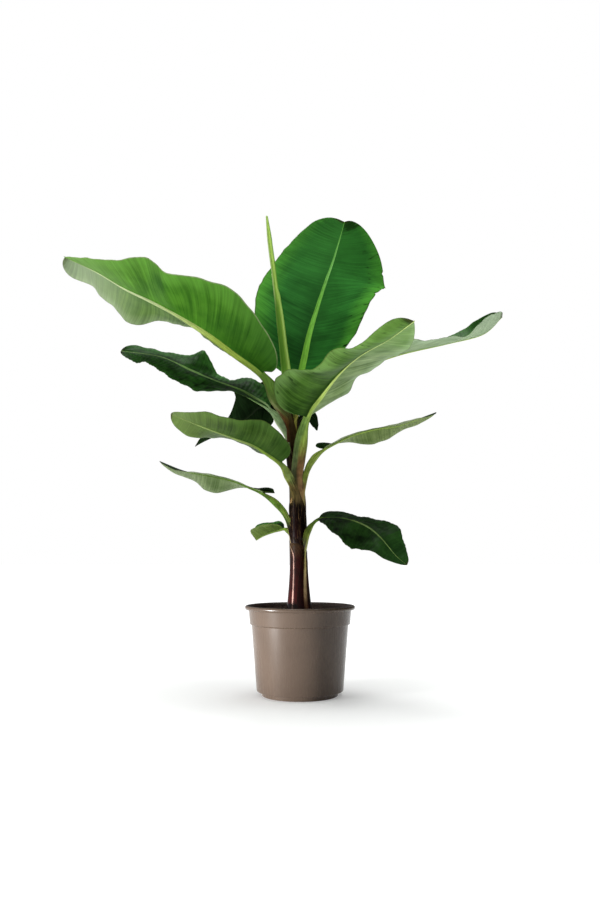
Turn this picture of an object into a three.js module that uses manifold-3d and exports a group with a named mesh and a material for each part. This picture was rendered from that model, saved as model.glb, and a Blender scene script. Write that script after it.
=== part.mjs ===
// A young banana plant in a plastic nursery pot. Millimetres, +Z up.
// The origin is the centre of the pot's flat underside, and the plant's front faces -Y.
import * as THREE from 'three';
import { mergeVertices } from 'three/addons/utils/BufferGeometryUtils.js';
import Module from 'manifold-3d';

const wasm = await Module();
wasm.setup();

// Driving dimensions of the pot
const rimDiameter = 248;
const potHeight = 196;
const potWall = 3;
const footHeight = 10;
const bandBottom = 154;
const bandProud = 4;
const soilTop = 188;

// Driving dimensions of the plant. A blade is leafThickness of its length thick, its ridge is the
// rib, it is never narrower than narrowest ridges, and its rows crowd towards foot and tip.
const gap = 0.3;
const stemFoot = soilTop + gap;
const leafThickness = 0.0105;
const leastThickness = 2.5;
const ribDepth = 1.5;
const ribTipRadius = 1.2;
const ribTaper = 2.5;
const narrowest = 1.3;
const stalkSides = 8;
const longBlade = 350;
const longMesh = { steps: 18, acrossHalf: [0, 0.35, 0.7, 1] };
const shortMesh = { steps: 15, acrossHalf: [0, 0.5, 1] };
const crowding = 0.4;

// Colours
const potColour = 0x8c7d70;
const soilColour = 0x2c1c12;
const stemColour = 0x5a2b20;
const stalkColour = 0x86a845;
const bladeColour = 0x2f7a35;
const spearColour = 0x9ab94c;

// The stem's middle line runs on, from its top knot, into the rolled young leaf
const axis = [[-2, -8, soilTop - 12], [-3, -3, 274], [-4, 0, 331], [-6, 0, 434], [-13, 0, 540],
  [-23, 3, 640], [-31, 5, 720], [-39, 6, 790], [-49, 6, 876], [-60, 5, 963], [-72, 5, 1052],
  [-81, 5, 1125]];
const stemTopKnot = 5;
const stemRadii = [25.2, 20.6, 20.2, 19.5, 18.5, 12.5];
const spearRadii = [11, 12, 11.3, 10, 9.6, 7.8, 6.9, 6.5, 5.6, 1.2];

// Each leaf's line runs from inside the stem, along its stalk and its rib, to its tip.
// out is the knot where the stalk leaves the stem, and foot the knot where the blade starts.
// Left and right are the leaf's own, seen from above with the tip ahead: lift and curl are the
// angles in degrees, foot to tip, by which a half rises from the rib and bends towards its edge.
const leaves = {
  upper_left_leaf: {
    path: [[-16, -4, 540], [-34, -13, 615], [-55, -18, 675], [-86, -17, 727], [-182, -30, 796],
      [-296, -30, 871], [-413, -10, 935], [-490, 10, 985], [-579, 40, 1035]],
    out: 2, foot: 3, stalk: [14, 12],
    left: { width: 145, wide: 0.39, low: 3.2, high: 1.45, back: 60,
      lift: [8, 17, 24, 30, 19, 7, 17, 6, -2, -9, -15, -20], curl: [20, 30, 30, 25, 20, 20] },
    right: { width: 101, wide: 0.42, low: 4.2, high: 2, back: -50,
      lift: [-3, -2, -2, -1, 2, -5, -12, -41, -33, -34, -32, -103] },
  },
  back_leaf: {
    path: [[-10, 10, 540], [-8, 30, 620], [-4, 38, 670], [2, 45, 728], [20, 75, 837],
      [43, 120, 929], [68, 165, 1020], [92, 215, 1103], [126, 290, 1240]],
    out: 2, foot: 3, stalk: [12, 10],
    left: { width: 161, wide: 0.47, low: 2.2, high: 2, lift: [35, 39, 38, 29, 22, 23, 28, 50] },
    right: { width: 156, wide: 0.62, low: 1.85, high: 1.43, back: 7,
      lift: [0, -11, -13, -5, -6, -20, -36, -27, -12, 20] },
  },
  far_right_leaf: {
    path: [[0, 8, 560], [12, 14, 630], [40, 18, 685], [83, 20, 721], [157, 45, 761], [250, 80, 801],
      [368, 110, 835], [465, 125, 864], [517, 130, 911]],
    out: 2, foot: 3, stalk: [12, 8],
    left: { width: 52, wide: 0.5, high: 3, lift: [2, 5, 10, 16, 18, 18, 24, 40, 70, 95] },
    right: { width: 118, wide: 0.4, low: 2.4, high: 2.4, back: -8,
      lift: [29, 28, 22, 5, -2, -2, -5, 11, 24, 24] },
  },
  front_leaf: {
    path: [[-2, -15, 400], [1, -25, 490], [3, -36, 555], [15, -55, 618], [48, -105, 659],
      [86, -165, 697], [123, -230, 716], [171, -310, 725], [211, -390, 737]],
    out: 2, foot: 3, stalk: [14, 9],
    left: { width: 106, wide: 0.49, low: 2.9, high: 1.2, back: -30,
      lift: [22, 16, 24, 15, 13, 7, 2, -2, 9, 46] },
    right: { width: 121, wide: 0.33, low: 3.1, high: 1.9,
      lift: [-31, -10, -21, -32, -44, -46, -34, -39, -27, 11], curl: [60, 60, 60, 50, 40, 20] },
  },
  dark_left_leaf: {
    path: [[-12, 8, 500], [-26, 14, 570], [-48, 14, 618], [-75, 8, 649], [-135, 20, 692],
      [-194, 30, 719], [-265, 40, 750], [-337, 45, 784], [-436, 50, 800]],
    out: 2, foot: 3, stalk: [12, 8],
    left: { width: 81, wide: 0.39, low: 2.5, high: 1.8, back: -10,
      lift: [-13, -12, -16, -26, -36, -35, -34, -34, -33, -44, -39] },
    right: { width: 78, lift: [8, 41, 39, 21, 20, 55, 29, 25, 35, 63] },
  },
  behind_left_leaf: {
    path: [[-8, 14, 520], [-28, 28, 590], [-46, 40, 628], [-60, 50, 646], [-85, 66, 664],
      [-104, 84, 662], [-122, 104, 645], [-150, 122, 622], [-205, 145, 600], [-267, 165, 582]],
    out: 2, foot: 3, stalk: [10, 6],
    left: { width: 62, wide: 0.31, low: 3, high: 1.26, back: 24, lift: [-95, -84, -50, -16, -4] },
    right: { width: 90, wide: 0.3, low: 1.3, high: 0.95, back: -80, lift: [75, 62, 70, 45, 40, 43] },
  },
  behind_right_leaf: {
    path: [[-6, 14, 530], [-8, 34, 590], [-2, 52, 625], [10, 70, 645], [23, 88, 650],
      [35, 104, 644], [46, 118, 630]],
    out: 2, foot: 3, stalk: [8, 5],
    left: { width: 30, low: 3, high: 3.5, lift: [30, 30] },
    right: { width: 34, low: 3, high: 3.5, lift: [-70, -70] },
  },
  mid_left_leaf: {
    path: [[-8, -12, 370], [-18, -28, 450], [-30, -42, 485], [-47, -60, 510], [-93, -85, 543],
      [-144, -110, 561], [-203, -130, 580], [-278, -140, 609]],
    out: 2, foot: 3, stalk: [14, 8],
    left: { width: 79, wide: 0.38, low: 2.7, high: 2, lift: [25, 18, 16, 18, 6, 6, 7, -1, -3],
      curl: [20, 30, 20, 10] },
    right: { width: 76, wide: 0.57, start: 0.1, lift: [29, 4, 8, 8, 1, -8, -19, -24] },
  },
  mid_right_leaf: {
    path: [[4, 0, 370], [12, 2, 455], [18, 3, 500], [31, 4, 530], [58, 5, 554], [112, 10, 583],
      [174, 15, 602], [236, 20, 612], [323, 25, 644]],
    out: 3, foot: 4, stalk: [10, 7],
    left: { width: 46, wide: 0.33, low: 3.1, lift: [6, -1, -21, -44, -34, -15, -22, -23] },
    right: { width: 52, back: 25, lift: [4, 0, -3, -6, -3, 1, -7, -20] },
  },
  low_left_leaf: {
    path: [[-10, 0, 270], [-21, 2, 345], [-33, 3, 394], [-54, 4, 425], [-87, 5, 450],
      [-122, 8, 468], [-163, 12, 484], [-227, 18, 496], [-272, 22, 505], [-329, 25, 527]],
    out: 3, foot: 4, stalk: [10, 7],
    left: { width: 50, back: 25, lift: [10, 0, 0, 0, 0, -5, -10, -10] },
    right: { width: 58, wide: 0.5, lift: [20, 0, -15, -35, -35, -15, -20, -20] },
  },
  low_right_leaf: {
    path: [[8, -4, 250], [16, -10, 320], [24, -18, 358], [43, -30, 386], [93, -60, 390],
      [142, -80, 373], [173, -95, 347], [204, -105, 308], [228, -110, 287]],
    out: 2, foot: 3, stalk: [12, 6],
    left: { width: 56, lift: [38, 19, 11, 13, 33, 53, 47, 56] },
    right: { width: 64, low: 2.1, back: -12, lift: [-11, -20, -39, -55, -59, -27, -18, -2] },
  },
  lowest_leaf: {
    path: [[-10, 6, 310], [-20, 14, 348], [-31, 20, 364], [-38, 24, 366], [-48, 29, 365],
      [-64, 38, 361], [-86, 52, 353], [-104, 65, 343]],
    out: 2, foot: 3, stalk: [8, 4],
    left: { width: 34, wide: 0.5, high: 3.5, lift: [35, 32, 36, 55] },
    right: { width: 36, wide: 0.6, low: 2.9, high: 4, back: -10, lift: [42, 45, 55, 80] },
  },
};

const up = new THREE.Vector3(0, 0, 1);
const plant = new THREE.Group();

// One closed body from loops of equal length, with a fan over each end loop
function loft(loops) {
  const count = loops[0].length;
  const points = loops.flat();
  const faces = [];
  for (let ring = 0; ring < loops.length - 1; ring += 1) {
    for (let i = 0; i < count; i += 1) {
      const a = ring * count + i;
      const b = ring * count + (i + 1) % count;
      faces.push(a, b, b + count, a, b + count, a + count);
    }
  }
  for (const [end, flip] of [[0, true], [loops.length - 1, false]]) {
    const middle = new THREE.Vector3();
    loops[end].forEach((point) => middle.addScaledVector(point, 1 / count));
    points.push(middle);
    for (let i = 0; i < count; i += 1) {
      const a = end * count + i;
      const b = end * count + (i + 1) % count;
      faces.push(points.length - 1, flip ? b : a, flip ? a : b);
    }
  }
  const geometry = new THREE.BufferGeometry();
  geometry.setAttribute('position', new THREE.Float32BufferAttribute(
    points.flatMap((point) => point.toArray()), 3));
  geometry.setIndex(faces);
  return geometry;
}

function toSolid(geometry) {
  return new wasm.Manifold(new wasm.Mesh({
    numProp: 3,
    vertProperties: Float32Array.from(geometry.getAttribute('position').array),
    triVerts: Uint32Array.from(geometry.getIndex().array),
  }));
}

function toGeometry(solid) {
  const mesh = solid.getMesh();
  const geometry = new THREE.BufferGeometry();
  geometry.setAttribute('position', new THREE.BufferAttribute(mesh.vertProperties, 3));
  geometry.setIndex(new THREE.BufferAttribute(mesh.triVerts, 1));
  return geometry;
}

function addPiece(name, geometry, colour, roughness) {
  const flat = geometry.index ? geometry.toNonIndexed() : geometry;
  flat.computeVertexNormals();
  const material = new THREE.MeshStandardMaterial({ color: colour, roughness, metalness: 0 });
  const mesh = new THREE.Mesh(flat, material);
  mesh.name = name;
  plant.add(mesh);
}

// A value that runs smoothly through evenly spaced knots, at t from 0 to 1
function valueAt(knots, t) {
  const line = knots.map((value) => new THREE.Vector3(value, 0, 0));
  return new THREE.CatmullRomCurve3(line, false, 'catmullrom', 0.5).getPoint(t).x;
}

// The stretch of a line between two of its knots, measured along its length
class Stretch extends THREE.Curve {
  constructor(path, first, last) {
    super();
    const knots = path.map((point) => new THREE.Vector3(...point));
    this.line = new THREE.CatmullRomCurve3(knots, false, 'catmullrom', 0.5);
    this.from = first / (path.length - 1);
    this.to = last / (path.length - 1);
  }

  getPoint(t) {
    return this.line.getPoint(this.from + (this.to - this.from) * t);
  }

  // The whole line's direction at a share of this stretch's length
  heading(share) {
    return this.line.getTangent(this.from + (this.to - this.from) * this.getUtoTmapping(share));
  }
}

// A round limb along a stretch, with its radii evenly spread along it and clearance at its ends
function limb(stretch, radii, steps, clearance = 0, sides = stalkSides) {
  const loops = [];
  const trim = clearance / stretch.getLength();
  for (let i = 0; i <= steps; i += 1) {
    const t = i / steps;
    const share = trim + t * (1 - 2 * trim);
    const centre = stretch.getPointAt(share);
    const along = stretch.heading(share);
    const across = new THREE.Vector3().crossVectors(new THREE.Vector3(0, 1, 0), along).normalize();
    const third = new THREE.Vector3().crossVectors(along, across);
    const radius = valueAt(radii, t);
    const loop = [];
    for (let k = 0; k < sides; k += 1) {
      const angle = (2 * Math.PI * k) / sides;
      loop.push(centre.clone()
        .addScaledVector(across, radius * Math.cos(angle))
        .addScaledVector(third, radius * Math.sin(angle)));
    }
    loops.push(loop);
  }
  return loft(loops);
}

// A half's width over its greatest width: rounded on both sides of its widest place
function fullness(half, t) {
  const { wide = 0.42, low = 2.3, high = 1.9, start = 0 } = half;
  const place = Math.max(0, (t - start) / (1 - start));
  const offset = place < wide ? (wide - place) / wide : (place - wide) / (1 - wide);
  const power = place < wide ? low : high;
  return Math.max(0, 1 - offset ** power) ** (1 / power);
}

// The rib's place and directions at a share of its length: along it, across it to the right, and up
function ribFrame(leaf, rib, t) {
  const first = leaf.path[leaf.foot];
  const last = leaf.path[leaf.path.length - 1];
  const ahead = new THREE.Vector3(last[0] - first[0], last[1] - first[1], 0);
  const level = new THREE.Vector3().crossVectors(ahead, up).normalize();
  const along = rib.heading(t);
  const across = level.clone().addScaledVector(along, -level.dot(along)).normalize();
  const above = new THREE.Vector3().crossVectors(across, along);
  return { centre: rib.getPointAt(t), along, across, above };
}

// One point of a half, out at a distance from the rib, and its direction square to the blade
function halfPoint(frame, half, side, t, distance, width) {
  const share = distance / width;
  const lift = THREE.MathUtils.degToRad(valueAt(half.lift, t));
  const bend = THREE.MathUtils.degToRad(half.curl ? valueAt(half.curl, t) : 0) * share;
  const chord = Math.abs(bend) > 1e-6 ? distance * Math.sin(bend / 2) / (bend / 2) : distance;
  const backward = (half.back ?? 0) * share ** 2 * (1 - t) ** 4 * fullness(half, t);
  const point = frame.centre.clone()
    .addScaledVector(frame.across, side * chord * Math.cos(lift + bend / 2))
    .addScaledVector(frame.above, chord * Math.sin(lift + bend / 2))
    .addScaledVector(frame.along, -backward);
  const square = frame.above.clone().multiplyScalar(Math.cos(lift + bend))
    .addScaledVector(frame.across, -side * Math.sin(lift + bend));
  return { point, square };
}

// A blade is a thin body with a ridge under its rib
function blade(leaf) {
  const rib = new Stretch(leaf.path, leaf.foot, leaf.path.length - 1);
  const length = rib.getLength();
  const thickness = Math.max(leastThickness, leafThickness * length);
  const ribRadius = leaf.stalk[1];
  const { steps, acrossHalf } = length > longBlade ? longMesh : shortMesh;
  const loops = [];
  for (let i = 0; i <= steps; i += 1) {
    const even = i / steps;
    const eased = 0.5 - 0.5 * Math.cos(Math.PI * even);
    const t = (1 - crowding) * even + crowding * eased;
    const frame = ribFrame(leaf, rib, t);
    const ridge = ribTipRadius + (ribRadius - ribTipRadius) * (1 - t) ** ribTaper;
    const upper = [];
    const under = [];
    for (const [side, half] of [[-1, leaf.left], [1, leaf.right]]) {
      const width = Math.max(half.width * fullness(half, t), narrowest * ridge);
      const inner = Math.min(ridge, 0.5 * width);
      const places = acrossHalf.map((share) => inner + (width - inner) * share);
      const ordered = side < 0 ? places.reverse() : places;
      for (const distance of ordered) {
        const { point, square } = halfPoint(frame, half, side, t, distance, width);
        upper.push(point.clone().addScaledVector(square, thickness / 2));
        under.push(point.clone().addScaledVector(square, -thickness / 2));
      }
      if (side < 0) {
        upper.push(frame.centre.clone().addScaledVector(frame.above, thickness / 2));
        under.push(frame.centre.clone().addScaledVector(frame.above, -thickness / 2 - ribDepth * ridge));
      }
    }
    loops.push([...upper, ...under.reverse()]);
  }
  return loft(loops);
}

// Radii of the pot's wall: outside it has a proud band under the rim, inside it follows it
const rimRadius = rimDiameter / 2;
const wallFoot = rimRadius - 27.5;
const wallTop = rimRadius - 15.5;
const footRadius = wallFoot - 12;
const bandFoot = wallTop + bandProud;
const bandTop = rimRadius - 8.5;
const floorTop = footHeight + potWall;

function turned(profile) {
  const line = profile.map(([radius, height]) => new THREE.Vector2(radius, height));
  return new THREE.LatheGeometry(line, 40).rotateX(Math.PI / 2);
}

// The pot is turned from one closed profile: foot ring, wall, proud band and rolled rim
function pot() {
  return turned([
    [0, 0], [footRadius, 0], [footRadius, footHeight - 1], [wallFoot, footHeight + 1],
    [wallTop, bandBottom], [bandFoot, bandBottom + 1.5], [bandTop, potHeight - 9],
    [rimRadius - 2, potHeight - 9], [rimRadius, potHeight - 6], [rimRadius, potHeight - 3],
    [rimRadius - 2, potHeight - 0.5], [rimRadius - 5, potHeight], [rimRadius - 8, potHeight - 2],
    [bandTop - potWall, potHeight - 8], [bandFoot - potWall, bandBottom + 3],
    [wallTop - potWall, bandBottom], [wallFoot - potWall, floorTop], [0, floorTop],
  ]);
}

// The compost fills the pot to just under its rim
function soil() {
  const inner = potWall + gap;
  const rise = (soilTop - bandBottom) / (potHeight - bandBottom);
  const edge = bandFoot + (bandTop - bandFoot) * rise - inner;
  return turned([
    [0, floorTop + gap], [wallFoot - inner - 1, floorTop + gap], [wallTop - inner - 0.5, bandBottom],
    [bandFoot - inner - 0.5, bandBottom + 4], [edge - 0.5, soilTop], [0, soilTop],
  ]);
}

// The false stem is the core with the foot of every stalk fused to it
function stemBody() {
  const core = new Stretch(axis, 0, stemTopKnot);
  let body = toSolid(limb(core, stemRadii, 12, 0, 14));
  for (const leaf of Object.values(leaves)) {
    const sheath = new Stretch(leaf.path, 0, leaf.out);
    body = body.add(toSolid(limb(sheath, [leaf.stalk[0], leaf.stalk[0]], 4)));
  }
  const below = new THREE.BoxGeometry(rimDiameter, rimDiameter, soilTop);
  below.translate(0, 0, stemFoot - soilTop / 2);
  below.deleteAttribute('normal');
  below.deleteAttribute('uv');
  return toGeometry(body.subtract(toSolid(mergeVertices(below))));
}

addPiece('pot', pot(), potColour, 0.3);
addPiece('soil', soil(), soilColour, 1);
addPiece('pseudostem', stemBody(), stemColour, 0.4);
const roll = new Stretch(axis, stemTopKnot, axis.length - 1);
addPiece('spear_leaf', limb(roll, spearRadii, 14, gap), spearColour, 0.5);
for (const [name, leaf] of Object.entries(leaves)) {
  const stalk = new Stretch(leaf.path, leaf.out, leaf.foot);
  addPiece(`${name}_stalk`, limb(stalk, leaf.stalk, 4, gap), stalkColour, 0.5);
  addPiece(`${name}_blade`, blade(leaf), bladeColour, 0.5);
}

export default plant;
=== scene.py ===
import math
from functools import partial

import bpy
import numpy as np
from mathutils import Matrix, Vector


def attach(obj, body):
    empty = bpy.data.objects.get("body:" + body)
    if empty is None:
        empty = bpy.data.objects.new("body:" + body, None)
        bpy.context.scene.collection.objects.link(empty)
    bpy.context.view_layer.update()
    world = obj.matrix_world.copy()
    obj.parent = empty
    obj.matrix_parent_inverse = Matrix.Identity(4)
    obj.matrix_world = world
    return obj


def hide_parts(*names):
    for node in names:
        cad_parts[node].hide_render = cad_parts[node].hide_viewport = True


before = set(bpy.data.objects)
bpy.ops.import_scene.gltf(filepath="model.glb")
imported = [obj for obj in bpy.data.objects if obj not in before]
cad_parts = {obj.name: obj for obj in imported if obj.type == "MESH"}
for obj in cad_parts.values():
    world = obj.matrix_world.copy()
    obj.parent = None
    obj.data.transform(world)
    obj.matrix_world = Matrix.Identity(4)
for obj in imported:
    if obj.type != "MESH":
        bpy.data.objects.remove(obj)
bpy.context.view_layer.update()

# A young banana plant in its nursery pot. Every size is in millimetres until a mesh is made.
metre = 1000.0
fullTurn = 2 * np.pi
up = np.array([0.0, 0.0, 1.0])
# settings that several shader nodes share
smooth = {"interpolation_type": "SMOOTHSTEP"}
inColour = {"data_type": "RGBA"}
shading = {"data_type": "RGBA", "blend_type": "MULTIPLY"}
print("frame loaded:", len(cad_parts), "nodes")


def linear(hexColour):
    # sRGB hex to the linear colour that the shaders use
    parts = [int(hexColour[i:i + 2], 16) / 255 for i in (1, 3, 5)]
    return [c / 12.92 if c <= 0.04045 else ((c + 0.055) / 1.055) ** 2.4 for c in parts] + [1.0]


def addNode(tree, kind, inputs=(), stops=(), **settings):
    # one shader node with its settings and ramp. Its inputs go by name, or in the node's own order,
    # and each is a value, a hex colour, or the node or output that is linked to it
    node = tree.nodes.new("ShaderNode" + kind)
    for key, value in settings.items():
        setattr(node, key, value)
    if not isinstance(inputs, dict):
        inputs = dict(zip([i for i, socket in enumerate(node.inputs) if socket.enabled], inputs))
    for key, value in inputs.items():
        if isinstance(value, bpy.types.Node):
            value = next(output for output in value.outputs if output.enabled)
        if isinstance(value, bpy.types.NodeSocket):
            tree.links.new(value, node.inputs[key])
        else:
            node.inputs[key].default_value = linear(value) if isinstance(value, str) else value
    if stops:
        marks = node.color_ramp.elements
        while len(marks) < len(stops):
            marks.new(0.5)
        for mark, (place, colour) in zip(marks, stops):
            mark.position = place
            mark.color = linear(colour) if isinstance(colour, str) else [colour] * 3 + [1.0]
    return node


def newMaterial(name, look, *details):
    # a material from a function that adds its nodes and gives back its shader
    material = bpy.data.materials.new(name)
    material.use_nodes = True
    tree = material.node_tree
    tree.nodes.clear()
    addNode(tree, "OutputMaterial", {"Surface": look(partial(addNode, tree), *details)})
    return material


def addObject(name, data):
    # an object in the scene's collection
    made = bpy.data.objects.new(name, data)
    bpy.context.collection.objects.link(made)
    return made


def addPiece(name, points, faces, materials, faceMaterial=None, maps=None):
    # a smooth mesh from millimetre points, with its material slots and its pattern maps
    mesh = bpy.data.meshes.new(name)
    mesh.from_pydata((points.reshape(-1, 3) / metre).tolist(), [], faces)
    for material in materials:
        mesh.materials.append(material)
    if faceMaterial is not None:
        mesh.polygons.foreach_set("material_index", faceMaterial.astype(np.int32))
    corners = np.empty(len(mesh.loops), np.int32)
    mesh.loops.foreach_get("vertex_index", corners)
    for mapName, places in (maps or {}).items():
        layer = mesh.uv_layers.new(name=mapName)
        layer.uv.foreach_set("vector", places.reshape(-1, 2).astype(np.float32)[corners].ravel())
    mesh.shade_smooth()
    piece = addObject(name, mesh)
    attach(piece, "root")
    return piece


def ease(x):
    # a smooth step from 0 to 1
    x = np.clip(x, 0, 1)
    return x * x * (3 - 2 * x)


def smoothAlong(knots, t):
    # values that run smoothly through evenly spaced knots, at t from 0 to 1
    knots, t = np.asarray(knots, float), np.asarray(t, float)
    spans = len(knots) - 1
    place = np.clip(t, 0, 1) * spans
    i = np.minimum(place.astype(int), spans - 1)
    here, there = knots[i], knots[i + 1]
    shape = i.shape + (1,) * (knots.ndim - 1)
    first, last = (i > 0).reshape(shape), (i < spans - 1).reshape(shape)
    before = np.where(first, knots[np.maximum(i - 1, 0)], 2 * here - there)
    after = np.where(last, knots[np.minimum(i + 2, spans)], 2 * there - here)
    f = (place - i).reshape(shape)
    return 0.5 * (2 * here + (there - before) * f
                  + (2 * before - 5 * here + 4 * there - after) * f ** 2
                  + (3 * here - before - 3 * there + after) * f ** 3)


def stretch(path, first, last, t):
    # places and directions at shares t of the run between two knots of a path, and its length
    path = np.asarray(path, float)
    spans = len(path) - 1
    place = np.linspace(first / spans, last / spans, 201)
    fine = smoothAlong(path, place)
    run = np.concatenate([[0], np.cumsum(np.linalg.norm(np.diff(fine, axis=0), axis=1))])
    want = np.interp(np.asarray(t) * run[-1], run, place)
    small = 1e-4
    along = smoothAlong(path, np.minimum(want + small, 1)) - smoothAlong(path, np.maximum(want - small, 0))
    along /= np.linalg.norm(along, axis=1)[:, None]
    return smoothAlong(path, want), along, run[-1]


def ringFaces(rows, ring):
    # quads between closed rings of points, facing out
    i, j = np.meshgrid(np.arange(rows - 1), np.arange(ring), indexing="ij")
    a, b = i * ring + j, i * ring + (j + 1) % ring
    return np.stack([a, b, b + ring, a + ring], -1).reshape(-1, 4)


def stripFaces(rows, ring):
    # those quads with both end rings closed by a strip, and the point that each face belongs to
    sides = ringFaces(rows, ring)
    half = np.arange(ring // 2 - 1)
    foot = np.stack([half, ring - 1 - half, ring - 2 - half, half + 1], -1)
    last = (rows - 1) * ring
    faces = np.concatenate([sides, foot, foot[:, ::-1] + last])
    return faces.tolist(), np.concatenate([sides[:, 0], half, half + last])


def discFaces(rows, ring):
    # those quads with each end ring closed by one flat face
    ends = [list(range(ring))[::-1], list(range((rows - 1) * ring, rows * ring))]
    return ringFaces(rows, ring).tolist() + ends


# The stem: its middle line and radii carry every sheath
stem = {
    "path": [(-2, -8, 176), (-3, -3, 274), (-4, 0, 331), (-6, 0, 434), (-13, 0, 540), (-23, 3, 640),
             (-31, 5, 720), (-39, 6, 790), (-49, 6, 876), (-60, 5, 963), (-72, 5, 1052), (-81, 5, 1125)],
    "topKnot": 5,         # from here on the line is the rolled leaf's
    "radii": [30.0, 21.8, 21.4, 20.4, 20.0, 13.0],
    "usualRadius": 20.0,
    "soilTop": 188,
    "sunk": 4,            # its sheaths begin this far under the compost
    "wall": 1.0,          # one sheath's thickness where several lie on each other
    "wallRise": 40,       # height over which a sheath slips under the one outside it
    "coreInset": 8.0,     # the core lies this far under the outermost sheath
}
stemRun = stretch(stem["path"], 0, stem["topKnot"], np.linspace(0, 1, 60))[0]
stemRadii = smoothAlong(stem["radii"], np.linspace(0, 1, 60))


def stemAt(height):
    # the stem's middle and outer radius at a height
    return [np.interp(height, stemRun[:, 2], track) for track in (*stemRun.T[:2], stemRadii)]


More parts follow.
